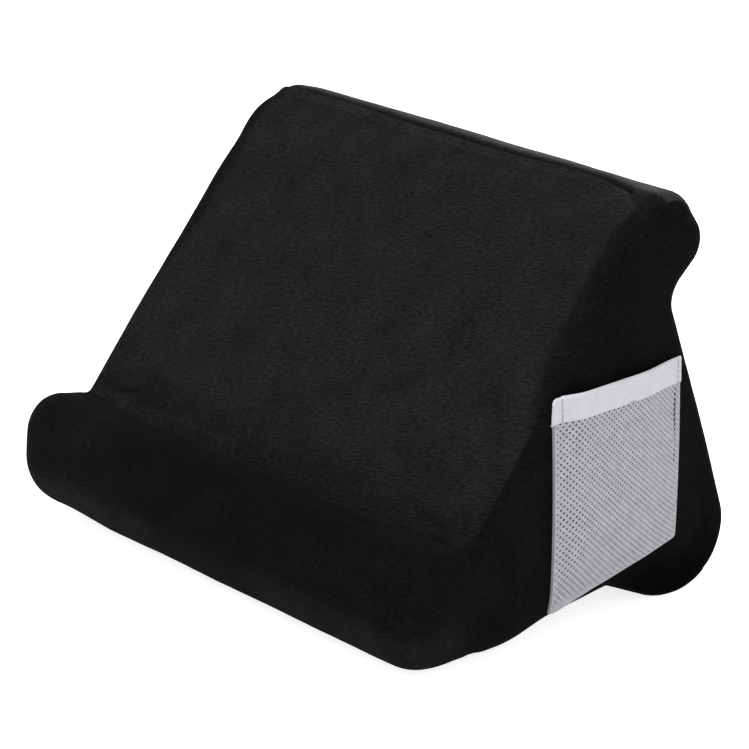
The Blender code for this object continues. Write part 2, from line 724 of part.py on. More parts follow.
PLUSH_CLOTH = cloth_material("black_plush", (0.010, 0.010, 0.012), 0.95, 0)
FOAM = cloth_material("polyurethane_foam", (0.60, 0.57, 0.45), 0.9, 0)
NET = cloth_material("grey_net", (0.42, 0.42, 0.43), 0.7, 0)
BAND = cloth_material("grey_band", (0.58, 0.58, 0.60), 0.8, 0)
BINDING = cloth_material("grey_binding", (0.36, 0.36, 0.37), 0.8, 0)
TAPE = cloth_material("black_tape", (0.012, 0.012, 0.013), 0.85, 0)
COIL = cloth_material("black_nylon_coil", (0.015, 0.015, 0.016), 0.35, 0)
THREAD = cloth_material("black_thread", (0.014, 0.014, 0.015), 0.6, 0)
DIE_CAST = cloth_material("black_die_cast_zinc", (0.03, 0.03, 0.032), 0.35, 1)

wrap_panel("front_panel", FRONT_PLACES, plain_gap, plain_gap, PLUSH_CLOTH)
wrap_panel("back_panel", BACK_PLACES, plain_gap, zip_gap, PLUSH_CLOTH)
wrap_panel("bottom_panel", BOTTOM_PLACES, zip_gap, plain_gap, PLUSH_CLOTH)
end_panel("right_end_panel", 1, PLUSH_CLOTH)
end_panel("left_end_panel", -1, PLUSH_CLOTH)
zip_empty, zip_place = zip_frame()
foam_core(zip_place)
zip_sides(zip_empty)
end_tacks(zip_empty)
pull_tab(slider(zip_empty))
pocket_bindings()
pocket_band()
pocket_net()
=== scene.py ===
import bisect
import math

import bmesh
import bpy
from mathutils import Matrix, Vector, noise


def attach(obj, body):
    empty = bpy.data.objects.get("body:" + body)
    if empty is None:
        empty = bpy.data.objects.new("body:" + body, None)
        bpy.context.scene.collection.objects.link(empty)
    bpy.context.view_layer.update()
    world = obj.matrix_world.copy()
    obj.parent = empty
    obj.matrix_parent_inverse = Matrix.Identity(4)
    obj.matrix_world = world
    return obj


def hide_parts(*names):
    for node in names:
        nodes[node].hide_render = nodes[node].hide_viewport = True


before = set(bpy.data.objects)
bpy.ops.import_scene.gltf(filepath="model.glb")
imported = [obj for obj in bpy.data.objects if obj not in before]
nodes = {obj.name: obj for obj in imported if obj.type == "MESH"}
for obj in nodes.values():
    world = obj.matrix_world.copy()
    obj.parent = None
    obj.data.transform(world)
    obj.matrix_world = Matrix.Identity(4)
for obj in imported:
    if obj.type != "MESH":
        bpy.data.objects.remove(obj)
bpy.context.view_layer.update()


# Front panel: one cut of black short-pile plush, from the top seam down the slope, through
# the crease, over the lip and under the front lobe. The foam holds it taut. It is sewn to
# the two end panels and, at the top, to the back panel.

HALF = 0.145                 # half the cushion's width
CENTRE_X = -0.0036
CREASE = 2                   # the crease's corner of the profile
PANEL_HALF = 0.1435          # half a panel's width
CLOTH = 0.0011               # the plush's thickness
TUG = 0.009                  # from one tug of the seams' thread to the next
LONG_FOLDS = (0.0036, 0.0018)    # depths of the edges turned in at a panel's long seams
END_FOLDS = (0.0034, 0.0016)     # and at the end seams
TUCK = 0.0001                # how far a turned-in edge lies past its seam
PULL_REACH = 0.03            # how far into a panel its seam's run still shows

# Corners of the side profile, clockwise seen from the right: y, z, radius, and the rounding
# there between the profile and the two ends
PROFILE = (
    (-0.11048, -0.00749, 0.0370, 0.0160),    # toe, under the front lobe
    (-0.10829, 0.07414, 0.0178, 0.0150),     # lip
    (-0.06756, 0.05733, 0.0040, 0.0065),     # crease
    (0.04019, 0.19099, 0.0416, 0.0090),      # brow, where the slope turns over
    (0.07720, 0.21170, 0.0182, 0.0120),      # nose
    (0.09341, 0.17377, 0.0164, 0.0080),      # tip of the top lobe
    (0.06778, 0.15512, 0.0126, 0.0070),      # notch behind it
    (0.11531, 0.01838, 0.0283, 0.0065),      # heel, the rear lobe's back
    (0.07610, -0.00602, 0.0400, 0.0055),     # foot, its underside
    (0.02924, 0.01613, 0.0078, 0.0055),      # arch, the hollow underneath
)

# Wrinkles beside each end of the crease, and by the top seam's right end and middle. Each
# has a strength, two ends as lengths across and up from the crease or seam, and a width.
CREASE_WRINKLES = (
    (1.0, (0.112, -0.008), (0.137, -0.013), 0.0013),
    (1.0, (0.120, 0.001), (0.142, -0.004), 0.0013),
    (1.0, (0.105, 0.013), (0.126, 0.006), 0.0013),
    (1.0, (0.075, -0.010), (0.098, -0.012), 0.0013),
)
TOP_WRINKLES = (
    (-1.0, (0.1150, 0.0005), (0.1310, -0.0065), 0.0011),
    (-0.7, (0.1295, -0.004), (0.1340, -0.022), 0.0013),
    (0.8, (0.1190, 0.001), (0.1345, -0.0060), 0.0012),
    (0.8, (0.1335, -0.005), (0.1375, -0.022), 0.0018),
    (0.5, (0.010, -0.003), (0.004, -0.016), 0.0030),
)


def smooth(value):
    """Ease from 0 to 1."""
    value = min(max(value, 0.0), 1.0)
    return value * value * (3 - 2 * value)


def bump_at(value, centre, reach):
    """1 at the centre, easing to 0 at a distance of reach on both sides."""
    return 1 - smooth(abs(value - centre) / reach)


def profile_runs(lift):
    """Straight runs and arcs of the profile in turn, the crease raised up the slope by lift."""
    corners = [Vector(corner[:2]) for corner in PROFILE]
    corners[CREASE] += (corners[CREASE + 1] - corners[CREASE]).normalized() * lift
    legs = [corners[i] - corners[i - 1] for i in range(len(corners))]
    turns = [legs[(i + 1) % len(legs)].angle_signed(legs[i]) for i in range(len(legs))]
    slopes = [math.tan(abs(turn) / 2) for turn in turns]
    cuts = [corner[2] * slope for corner, slope in zip(PROFILE, slopes)]
    fills = [min(1.0, 0.98 * leg.length / (cuts[i - 1] + cuts[i])) for i, leg in enumerate(legs)]
    cuts = [cut * min(fills[i], fills[(i + 1) % len(fills)]) for i, cut in enumerate(cuts)]
    runs = []
    for i, leg in enumerate(legs):
        ahead = leg.normalized()
        out = Vector((-ahead.y, ahead.x))
        start, end = corners[i - 1] + ahead * cuts[i - 1], corners[i] - ahead * cuts[i]
        runs.append(((end - start).length, start, end, out, 0.0, PROFILE[i - 1][3], PROFILE[i][3]))
        bend = math.copysign(cuts[i] / slopes[i], turns[i])
        runs.append((abs(bend * turns[i]), end + out * bend, bend, out, turns[i],
                     PROFILE[i][3], PROFILE[i][3]))
    return runs


flat_runs = profile_runs(0.0)
run_starts = [sum(run[0] for run in flat_runs[:i]) for i in range(len(flat_runs) + 1)]
profile_length = run_starts[-1]
lifted_runs = {0.0: flat_runs}

toe_start = run_starts[1]    # where the front lobe's underside begins to curve up
front_seam = toe_start - 0.012
top_seam = run_starts[9] + 0.17 * flat_runs[9][0]
zip_seam = run_starts[15] - 0.016
crease_place = run_starts[5] + flat_runs[5][0] / 2


def on_profile(along, lift=0.0):
    """Point, outward direction and end rounding at a length along the profile."""
    lift = round(lift, 5)
    if lift not in lifted_runs:
        lifted_runs[lift] = profile_runs(lift)
    along = along % profile_length
    index = min(bisect.bisect_right(run_starts, along), len(flat_runs)) - 1
    share = (along - run_starts[index]) / flat_runs[index][0]
    _, first, last, out, turn, round_a, round_b = lifted_runs[lift][index]
    rounding = round_a + (round_b - round_a) * share
    if turn == 0:
        return first.lerp(last, share), out, rounding
    out = Matrix.Rotation(turn * share, 2) @ out
    return first - out * last, out, rounding


def end_swell(z):
    """How far the ends swell outwards at a height."""
    fullest, reach = 0.0698, 0.1111
    return 0.0025 * (1 - smooth(abs(z - fullest) / reach))


def settle(point):
    """From the straight block to the swollen one, standing on its two flats."""
    z = max(point.z, 0.0)
    swell = end_swell(z) * smooth((abs(point.x) - 0.123) / 0.022)
    return Vector((point.x + math.copysign(swell, point.x) + CENTRE_X, point.y, z))


def on_cover(along, across, depth=0.0):
    """A point on the plush: lengths along the profile and across from the middle, the
    latter round the end's edge too, and a depth inwards."""
    rounding = on_profile(along)[2]
    flat = HALF - rounding
    turn = max(0.0, abs(across) - flat) / rounding
    inner = rounding - depth
    x = min(abs(across), flat) + inner * math.sin(turn)
    end_lift = 0.0039 if across > 0 else 0.0018
    point, out, _ = on_profile(along, 0.0013 + end_lift * smooth((x - 0.100) / 0.042))
    point = point - out * (rounding - inner * math.cos(turn))
    return Vector((math.copysign(x, across), point.x, point.y))


def seam_across(along):
    """Length across from the middle to the end seam, which lies half-way round the edge."""
    rounding = on_profile(along)[2]
    return HALF - rounding + rounding * math.pi / 4


def rolled(distance, radius):
    """Depth of a cloth edge that rolls into a seam, at a distance from the seam."""
    if distance >= radius:
        return 0.0
    return radius - math.sqrt(radius ** 2 - (radius - max(distance, 0.0)) ** 2)


def waviness(spot, size, seed):
    """Smooth unevenness between about -1 and 1, with features of that size in metres."""
    return noise.noise(spot / size + Vector((seed, 0.7 * seed, 0.3 * seed)))


def fold_ridge(across, along, start, end, width):
    """A raised fold of cloth from one place to another, 1 along its top."""
    a, b, p = Vector(start), Vector(end), Vector((across, along))
    share = (p - a).dot(b - a) / (b - a).length_squared
    if not 0 < share < 1:
        return 0.0
    off = (p - a.lerp(b, share)).length
    return math.exp(-(off / width) ** 2) * math.sin(math.pi * share) ** 0.7


def slow_relief(spot):
    """Slow unevenness of stuffed plush, as a depth."""
    return -0.00035 * waviness(spot, 0.045, 1.0) - 0.00012 * waviness(spot, 0.013, 2.0)


def sag(along, side, from_seam):
    """Settled shape near the ends, as a depth: fuller behind the front lobe's flat, on the
    front of its left end and at the heel, slacker at its lower corners and upper left."""
    near = bump_at(from_seam, 0.0, 0.034)
    place = along % profile_length
    depth = -0.0024 * bump_at(place, toe_start - 0.031, 0.030)
    if side < 0:
        upper_left = bump_at(place, top_seam + 0.012, 0.024)
        depth += 0.0016 * upper_left * bump_at(from_seam, 0.0, 0.024)
        depth += 0.0013 * bump_at(place, run_starts[7] - 0.004, 0.028) * near
        lower_left = bump_at(place, toe_start + 0.0245, 0.024)
        depth += 0.0018 * lower_left * bump_at(from_seam, 0.018, 0.038)
        return depth - 0.0026 * bump_at(place, toe_start + 0.056, 0.034) * near
    heel = bump_at(place, run_starts[16] + 0.006, 0.034)
    depth -= 0.0013 * heel * bump_at(from_seam, 0.0, 0.06)
    return depth + 0.0016 * bump_at(place, toe_start + 0.010, 0.030) * near


def seam_dip(across):
    """How far the top seam runs forward of its straight line, to the right end."""
    dip = 0.0011 + 0.0014 * smooth((across + 0.08) / 0.05)
    dip -= 0.0016 * smooth((across - 0.04) / 0.05)
    return dip + 0.0043 * smooth((across - 0.095) / 0.035)


def cloth_relief(spot, along, across, from_end, seams):
    """Depth inwards of the plush from the smooth form: seams, tugs beside them, the
    pinched crease with the cloth pushed up above it, and slow unevenness. seams holds a
    distance and a kind for the panel's first and its last seam."""
    depth = slow_relief(spot) + sag(along, across, from_end)
    tug = 0.5 + 0.5 * waviness(spot, TUG, 3.0)
    depth += rolled(from_end, 0.0002) + 0.0001 * (1 - smooth(from_end / 0.007)) * (0.5 + tug)
    inner = smooth(from_end / 0.012) * (1 - smooth((across - 0.119) / 0.008))
    for distance, kind in seams:
        if kind == "seam":
            pull = 0.0008 * (1 - smooth(distance / 0.006))
            depth += rolled(distance, 0.0011) + pull * (0.7 + 0.6 * tug)
        elif kind == "ridge":
            raised = 0.0010 * bump_at(distance, 0.0018, 0.0024)
            depth += rolled(distance, 0.0010) * inner - raised * inner
            depth += 0.0005 * bump_at(distance, 0.008, 0.006) * (0.4 + tug)
        elif kind == "lapped":
            step = 0.0015 * (1 - smooth(distance / 0.0075))
            depth += rolled(distance, 0.0012) * inner + step * inner
        elif kind == "zip":
            depth += rolled(distance, 0.0016) + 0.0004 * bump_at(distance, 0.0042, 0.0018)
    from_crease = along - crease_place
    if abs(from_crease) < 0.05:
        middle = 1 - smooth((abs(across) - 0.10) / 0.04)
        depth += 0.0005 * bump_at(from_crease, 0.0, 0.0034) * (0.4 + 0.6 * middle)
        swell = 0.3 + 0.3 * waviness(Vector((across, 0, 0)), 0.03, 4.0)
        swell += bump_at(across, -0.055, 0.06)
        depth -= 0.0013 * bump_at(from_crease, 0.0065, 0.0050) * swell * middle
        depth += 0.0014 * bump_at(from_crease, -0.018, 0.018) * middle
    return depth + 0.0009 * wrinkles(along, across)


def wrinkles(along, across):
    """Small creases in the cloth, 1 in the middle of each and below 0 where it is raised."""
    total = 0.0
    from_crease, from_top = along - crease_place, along - top_seam + seam_dip(across)
    if abs(from_crease) < 0.03:
        for strength, start, end, width in CREASE_WRINKLES:
            total += strength * fold_ridge(abs(across), from_crease, start, end, width)
    if abs(from_top) < 0.05 and across > 0:
        for strength, start, end, width in TOP_WRINKLES:
            total += strength * fold_ridge(across, from_top, start, end, width)
    return total


def painted_shading_at(along, across):
    """Painted shading at a place: a factor on the plush's colour that paints light and shade into
    it. The slope is painted lighter, as lit, and the end panels, the front lobe and the back are
    darker against it. The lip and its top are painted darker, and the front lobe's lower edge
    lighter, as lit from the floor. A painted highlight runs along the top lobe's rim, painted
    shade lies in the top seam's groove and along the wrinkles, and painted light lies just above
    the crease."""
    place = along % profile_length
    from_crease, from_top = along - crease_place, along - top_seam + seam_dip(across)
    from_middle = abs(across)
    side_edge = 0.1455 - 0.0130 * smooth((from_crease - 0.05) / 0.06)
    up_slope = smooth((from_crease + 0.012) / 0.042) * (1 - smooth((from_top + 0.005) / 0.012))
    up_slope *= 1 - smooth((from_middle - side_edge + 0.004) / 0.007)
    on_lip = 1 - smooth((from_crease + 0.008) / 0.016)
    lip_top = smooth((along - run_starts[3] - 0.008) / 0.014) * (1 - smooth(from_crease / 0.005))
    middle = smooth((across + 0.10) / 0.05) - 0.2 * smooth((across - 0.06) / 0.06)
    under = smooth((place - toe_start - 0.004) / 0.012)
    under *= 1 - smooth((place - toe_start - 0.050) / 0.016)
    # Painted light: lighter up the slope, darker on the lip away from its left end, lighter on the
    # front lobe's underside curve towards its ends and at its lower right corner
    painted_shading = 0.88 + 0.9 * up_slope - 0.22 * on_lip * middle
    painted_shading += under * (0.28 + 0.55 * smooth((from_middle - 0.02) / 0.04))
    painted_shading += 0.9 * bump_at(place, toe_start + 0.020, 0.024) * smooth((across - 0.07) / 0.05)
    # Painted shade along the lip's top; near the end seams the lip is painted to the end panels'
    # level
    painted_shading *= 1 - (0.10 + 0.12 * middle) * lip_top
    near_end = smooth((from_middle - seam_across(along) + 0.016) / 0.014)
    painted_shading += (0.86 - painted_shading) * near_end * on_lip * (1 - under)
    # Painted highlight along the top lobe's rim behind the top seam, stronger to the right
    rim = smooth((from_top - 0.0035) / 0.004) * (1 - smooth((along - top_seam - 0.011) / 0.009))
    rim_right = 0.7 + 0.3 * smooth((across + 0.10) / 0.15)
    painted_shading += 6.5 * rim * rim_right * (1 - 0.6 * smooth((from_middle - 0.130) / 0.012))
    # Painted shade in the top seam's groove, and a painted highlight on the ridge just in front of
    # it
    seen = 1 - smooth((across - 0.118) / 0.008)
    groove = 1 - smooth(from_top / 0.0048 if from_top > 0 else -from_top / 0.0013)
    painted_shading *= 1 - 0.88 * groove * seen
    painted_shading *= 1 + 0.45 * bump_at(from_top, -0.0034, 0.0036) * seen
    # Painted light just above the crease, more at the left, and on the cloth pushed up above it
    left = 1 - smooth((across + 0.045) / 0.04)
    painted_shading *= 1 + (0.45 + 0.40 * left) * bump_at(along, crease_place + 0.0024, 0.0055)
    swollen = 0.30 * bump_at(along, crease_place + 0.0058, 0.0030)
    painted_shading *= 1 + swollen * bump_at(across, -0.055, 0.06)
    # Painted shade along the wrinkles, painted light where they are raised
    return painted_shading * (1 - 0.5 * wrinkles(along, across))


def stations(length, fine_places, fine=0.0005, coarse=0.0022):
    """Distances from 0 to a length, closer together near the fine places."""
    steps = [0.0]
    while steps[-1] < length:
        near = min(abs(steps[-1] - place) for place in fine_places)
        steps.append(steps[-1] + min(coarse, fine + 0.16 * near))
    return [step * length / steps[-1] for step in steps]


def map_cloth(mesh, spot_of):
    """The cloth's own map, from each corner point's spot on the flat cloth."""
    cloth = mesh.loops.layers.uv.new("cloth")
    for face in mesh.faces:
        for loop in face.loops:
            loop[cloth].uv = spot_of(loop.vert)


def face_towards(mesh, direction):
    """Turn all faces alike, and on the whole towards a direction."""
    bmesh.ops.recalc_face_normals(mesh, faces=mesh.faces)
    if sum(face.normal.dot(direction) * face.calc_area() for face in mesh.faces) < 0:
        bmesh.ops.reverse_faces(mesh, faces=mesh.faces)


def new_piece(name, mesh, material, place=None, sharp_from=40):
    """A smooth-shaded piece from a bmesh, moved to its place, with its edges sharp from an
    angle in degrees on."""
    if place:
        mesh.transform(place)
    data = bpy.data.meshes.new(name)
    mesh.to_mesh(data)
    mesh.free()
    data.shade_smooth()
    if sharp_from:
        data.set_sharp_from_angle(angle=math.radians(sharp_from))
    data.materials.append(material)
    piece = bpy.data.objects.new(name, data)
    bpy.context.scene.collection.objects.link(piece)
    return piece


def thicken(piece, thickness, offset=-1):
    """Give a piece of cloth its thickness, inwards unless the offset says otherwise."""
    thick = piece.modifiers.new("cloth thickness", "SOLIDIFY")
    thick.thickness, thick.offset = thickness, offset


def finish_plush(name, mesh, material):
    """The panel's object: thickness inwards, finish and behaviour."""
    piece = new_piece(name, mesh, material, sharp_from=None)
    thicken(piece, CLOTH)
    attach(piece, "cushion")
    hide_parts(name.replace("plush_", ""))
    return piece


def no_gap(x):
    """A seam that is closed and straight."""
    return 0.0


def plush_panel(name, first, last, first_gap=no_gap, last_gap=no_gap, first_kind="seam",
                last_kind="seam", fine=(), cloth_material=None):
    """A panel of plush between two seams, its edges turned into the seams."""
    long = last - first
    rows = [(row, 0.0) for row in stations(long, [0.0, long] + [place - first for place in fine])]
    rows = [(0.0, fold) for fold in LONG_FOLDS] + rows
    rows += [(long, fold) for fold in LONG_FOLDS[::-1]]
    columns = [(-1, 0.0, fold) for fold in END_FOLDS]
    columns += [(-1, at, 0.0) for at in stations(PANEL_HALF, [0.0])[:-1]]
    columns += [(1, PANEL_HALF, 0.0)] + [(-side, at, fold) for side, at, fold in columns[::-1]]
    mesh = bmesh.new()
    bmesh.ops.create_grid(mesh, x_segments=len(columns) - 1, y_segments=len(rows) - 1, size=1)
    painted_shading = mesh.verts.layers.float.new("painted_shading")
    flat = {}
    for vertex in mesh.verts:
        side, from_end, end_fold = columns[round((vertex.co.x + 1) / 2 * (len(columns) - 1))]
        from_first, fold = rows[round((vertex.co.y + 1) / 2 * (len(rows) - 1))]
        from_last = long - from_first
        along = first + from_first
        reach = seam_across(along) + (TUCK if end_fold else 0.0)
        across = side * reach * (1 - from_end / PANEL_HALF)
        pull_first = first_gap(across) * (1 - smooth(from_first / PULL_REACH))
        pull_last = last_gap(across) * (1 - smooth(from_last / PULL_REACH))
        along += pull_first - pull_last
        if fold:
            at_first = from_first / long < 0.5
            kind, gap = (first_kind, first_gap) if at_first else (last_kind, last_gap)
            if kind != "zip" or gap(across) == 0.0:
                along += -TUCK if at_first else TUCK
        depth = max(fold, end_fold) + cloth_relief(
            on_cover(along, across), along, across, from_end,
            ((from_first, first_kind), (from_last, last_kind)))
        vertex.co = settle(on_cover(along, across, depth))
        flat[vertex] = (across, along)
        # Painted light: the plush along the end seams' folds is painted lighter, against the shade
        # there
        vertex[painted_shading] = painted_shading_at(along, across) * (1.35 if from_end < 0.0004 else 1.0)
    map_cloth(mesh, flat.get)
    bmesh.ops.recalc_face_normals(mesh, faces=mesh.faces)
    return finish_plush(name, mesh, cloth_material or plush)


def linear(code):
    """Linear colour of an sRGB hex code."""
    values = [int(code[i:i + 2], 16) / 255 for i in (1, 3, 5)]
    values = [v / 12.92 if v <= 0.04045 else ((v + 0.055) / 1.055) ** 2.4 for v in values]
    return tuple(values) + (1.0,)


def surface(name):
    """An empty material and its shader."""
    material = bpy.data.materials.new(name)
    material.use_nodes = True
    return material, material.node_tree.nodes["Principled BSDF"]


def connect(material, node, inputs):
    """Set a node's inputs to values, or link them to sockets."""
    for key, value in inputs.items():
        if isinstance(value, bpy.types.NodeSocket):
            material.node_tree.links.new(value, node.inputs[key])
        else:
            node.inputs[key].default_value = value


def add_node(material, kind, inputs=(), **settings):
    """A node with its settings and inputs."""
    node = material.node_tree.nodes.new("ShaderNode" + kind)
    for key, value in settings.items():
        setattr(node, key, value)
    connect(material, node, dict(inputs))
    return node


def noise_of(material, vector, scale, detail, roughness=0.5):
    """Level of a noise pattern."""
    return add_node(material, "TexNoise", {"Vector": vector, "Scale": scale, "Detail": detail,
                                           "Roughness": roughness}).outputs["Fac"]


def range_of(material, level, low, high, from_low=0.0, from_high=1.0):
    """A level brought from one range to another."""
    return add_node(material, "MapRange", {"Value": level, "From Min": from_low,
                                           "From Max": from_high, "To Min": low,
                                           "To Max": high}).outputs[0]


def math_of(material, operation, *values):
    """A calculation on levels."""
    return add_node(material, "Math", dict(enumerate(values)), operation=operation).outputs[0]


def mix_of(material, share, dark, light):
    """A colour between two."""
    return add_node(material, "MixRGB", {"Fac": share, "Color1": linear(dark),
                                         "Color2": linear(light)}).outputs[0]


def bump_of(material, height, strength, distance):
    """A surface direction that follows a height."""
    return add_node(material, "Bump", {"Height": height, "Strength": strength,
                                       "Distance": distance}).outputs[0]


# Warp-knit polyester plush, brushed and cropped to a 1.5 mm pile. The pile lies across the
# panel in short tufts, which catch the light as fine level streaks, and has slow patches
# where it was stroked another way. Sheen gives the soft light rim of pile seen edge-on.
plush, shader = surface("cropped black polyester plush")
cloth_map = add_node(plush, "UVMap", uv_map="cloth").outputs["UV"]
brushed = add_node(plush, "Mapping", {"Vector": cloth_map, "Rotation": (0, 0, math.radians(-16))})
tuft_map = add_node(plush, "Mapping", {"Vector": brushed.outputs[0], "Scale": (300, 1050, 1)})
tufts = noise_of(plush, tuft_map.outputs[0], 1.0, 3.0, 0.6)
patches = noise_of(plush, cloth_map, 45.0, 3.0, 0.55)
fibres = noise_of(plush, cloth_map, 2600.0, 1.0)
tuft_shade = range_of(plush, tufts, 0.50, 1.50, 0.34, 0.68)
patch_shade = range_of(plush, patches, 0.80, 1.20, 0.3, 0.7)
# The plush's colour is scaled by its painted shading, the light and shade painted into it place by
# place, and by the pile's own tufts and patches
painted_shading_level = add_node(plush, "Attribute", attribute_name="painted_shading").outputs["Fac"]
shade = math_of(plush, "MULTIPLY", tuft_shade, patch_shade)
pile_and_painted_shading = math_of(plush, "MULTIPLY", shade, painted_shading_level)
dyed = [0.315 * value for value in linear("#2a292b")[:3]]
colour = add_node(plush, "VectorMath", {0: dyed, "Scale": pile_and_painted_shading}, operation="SCALE")
height = math_of(plush, "MULTIPLY_ADD", fibres, 0.35, tufts)
connect(plush, shader, {
    "Base Color": colour.outputs[0], "Roughness": 0.95,
    "Normal": bump_of(plush, height, 0.6, 0.0008), "Specular IOR Level": 0.04,
    "Sheen Weight": 0.022, "Sheen Roughness": 0.3, "Sheen Tint": linear("#b9b8bb")})

plush_panel("plush_front_panel", front_seam, top_seam, last_gap=seam_dip, last_kind="ridge",
            fine=(crease_place,))


# Back panel: from the top seam over the top lobe, through the notch and down to the zip. Its
# top edge lies under the front panel's, and its lower edge is turned under along the zip.

zip_half = 0.107             # half the zip's coils


def zip_gap(x):
    """Half of the opening for the zip: wide along the coils, closed past their ends."""
    return 0.0042 * (1 - smooth((abs(x) - zip_half - 0.0012) / 0.003))


def seam_dip_behind(across):
    """The top seam's run, seen from behind it."""
    return -seam_dip(across)


# The same plush, brushed up over the top lobe: its rim shines where the pile stands edge-on
raised_plush = plush.copy()
raised_plush.name = "raised black polyester plush"
raised_plush.node_tree.nodes["Principled BSDF"].inputs["Sheen Weight"].default_value = 0.20

plush_panel("plush_back_panel", top_seam, zip_seam, first_gap=seam_dip_behind, last_gap=zip_gap,
            first_kind="lapped", last_kind="zip", cloth_material=raised_plush)


# Bottom panel: from the zip round the rear lobe, through the hollow and forward to the seam
# under the front lobe.

plush_panel("plush_bottom_panel", zip_seam, front_seam + profile_length, first_gap=zip_gap,
            first_kind="zip")


# End panels: plush gussets cut to the side profile, sewn to the other three panels all
# round. Each swells a little over the foam.

# Rings of a gusset's rim: length out from the seam, and depth of the edge turned in
RIM_RINGS = [(0, fold) for fold in END_FOLDS]
RIM_RINGS += [(out, 0) for out in (0, 0.00025, 0.0006, 0.001, 0.0017, 0.0027, 0.004, None)]
RIM_WIDTH = 0.0042
SQUARE = 0.0032              # side of the flat's squares, and the y and z that they cover
FLAT = ((1, -0.110, 0.110), (2, 0.0, 0.206))


def end_gusset(name, side):
    """A gusset: its rolled rim in rings from the seam, then the flat cut into small squares."""
    places = []
    for i, run in enumerate(flat_runs):
        steps = max(2, math.ceil(run[0] / (0.0022 if run[4] == 0 else 0.0016)))
        places += [run_starts[i] + run[0] * k / steps for k in range(steps)]
    mesh = bmesh.new()
    painted_shading = mesh.verts.layers.float.new("painted_shading")
    rings = []
    for from_seam, fold in RIM_RINGS:
        ring = []
        for along in places:
            rim = on_profile(along)[2] * math.pi / 4
            out_from = rim if from_seam is None else min(from_seam, rim * from_seam / RIM_WIDTH)
            across = seam_across(along) - (TUCK if fold else 0.0) + out_from
            spot = on_cover(along, side * across)
            tug = 0.5 + 0.5 * waviness(spot, TUG, 3.0)
            depth = fold + slow_relief(spot) + rolled(out_from, 0.0002)
            depth += 0.0001 * (1 - smooth(out_from / 0.007)) * (0.5 + tug)
            depth += sag(along, side, 3 * out_from)
            ring.append(mesh.verts.new(on_cover(along, side * across, depth)))
        rings.append(ring)
    for near, far in zip(rings, rings[1:]):
        for i in range(len(places)):
            j = (i + 1) % len(places)
            mesh.faces.new((near[i], near[j], far[j], far[i]))
    mesh.faces.new(rings[-1]).normal_update()
    for axis, low, high in FLAT:
        place = low
        while place < high:
            faces = [face for face in mesh.faces
                     if abs(face.normal.x) > 0.999 and face.calc_area() > 1e-8]
            edges = {edge for face in faces for edge in face.edges}
            corners = {vertex for face in faces for vertex in face.verts}
            normal, point = Vector((0, 0, 0)), Vector((0, 0, 0))
            normal[axis], point[axis] = 1, place
            bmesh.ops.bisect_plane(mesh, geom=list(corners | edges) + faces, plane_co=point,
                                   plane_no=normal, dist=1e-5)
            place += SQUARE
    on_rim = {vertex for ring in rings for vertex in ring}
    for vertex in mesh.verts:
        if vertex not in on_rim:
            vertex.co.x -= side * slow_relief(vertex.co)
        vertex.co = settle(vertex.co)
        _, y, z = vertex.co
        # Painted light and shade on the gusset: lighter low at its front, as lit from the floor,
        # and painted shade low at its rear
        low = smooth((0.05 - z) / 0.04) + 1.8 * smooth((0.030 - z) / 0.016)
        front, rear = smooth((-0.05 - y) / 0.03), smooth((y - 0.02) / 0.03)
        vertex[painted_shading] = 0.86 + low * (0.35 * front - 0.25 * rear)
    map_cloth(mesh, lambda vertex: (vertex.co.y * side, vertex.co.z))
    face_towards(mesh, Vector((side, 0, 0)))
    return finish_plush(name, mesh, plush)


end_gusset("plush_right_end_panel", 1)
end_gusset("plush_left_end_panel", -1)


# Foam: one wire-cut block of soft polyurethane foam that fills the cover, with a bed pressed
# in behind the zip. Seen only when the cover is opened.

mesh = bmesh.new()
mesh.from_mesh(nodes["foam_core"].data)
bmesh.ops.remove_doubles(mesh, verts=mesh.verts, dist=1e-6)
mesh.normal_update()
squeeze = 0.0012
for vertex in mesh.verts:
    vertex.co -= vertex.normal * squeeze
bmesh.ops.dissolve_limit(mesh, angle_limit=math.radians(2), verts=mesh.verts, edges=mesh.edges)

# Open-celled foam, cut by a hot wire: cream, darker in its fine pores as painted shade, with faint
# drag lines
foam, shader = surface("wire-cut polyurethane foam")
where = add_node(foam, "TexCoord").outputs["Object"]
cells = add_node(foam, "TexVoronoi", {"Vector": where, "Scale": 900.0}).outputs["Distance"]
drag = add_node(foam, "Mapping", {"Vector": where, "Scale": (6, 260, 260)})
lines = noise_of(foam, drag.outputs[0], 1.0, 2.0)
pores = range_of(foam, cells, 0.0, 1.0, 0.05, 0.6)
relief = math_of(foam, "MULTIPLY_ADD", lines, 0.5, pores)
connect(foam, shader, {
    "Base Color": mix_of(foam, pores, "#a89a6e", "#d9cfa8"), "Roughness": 0.95,
    "Normal": bump_of(foam, relief, 0.5, 0.0005), "Specular IOR Level": 0.2})

foam_block = new_piece("foam_block", mesh, foam)
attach(foam_block, "cushion")
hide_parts("foam_core")


# Zip tapes: two woven polyester tapes sewn under the turned edges of the back and bottom
# panels. Each carries its coil along its inner edge.

# From the zip's own axes, x along it and z outwards, to its place low on the back
zip_place = Matrix(((-1, 0, 0, CENTRE_X), (0, -0.3283, 0.9446, 0.102626),
                    (0, 0.9446, 0.3283, 0.05486), (0, 0, 0, 1)))
tape_half, tape_width, tape_edge, tape_level = 0.115, 0.01149, 0.00006, -0.00232

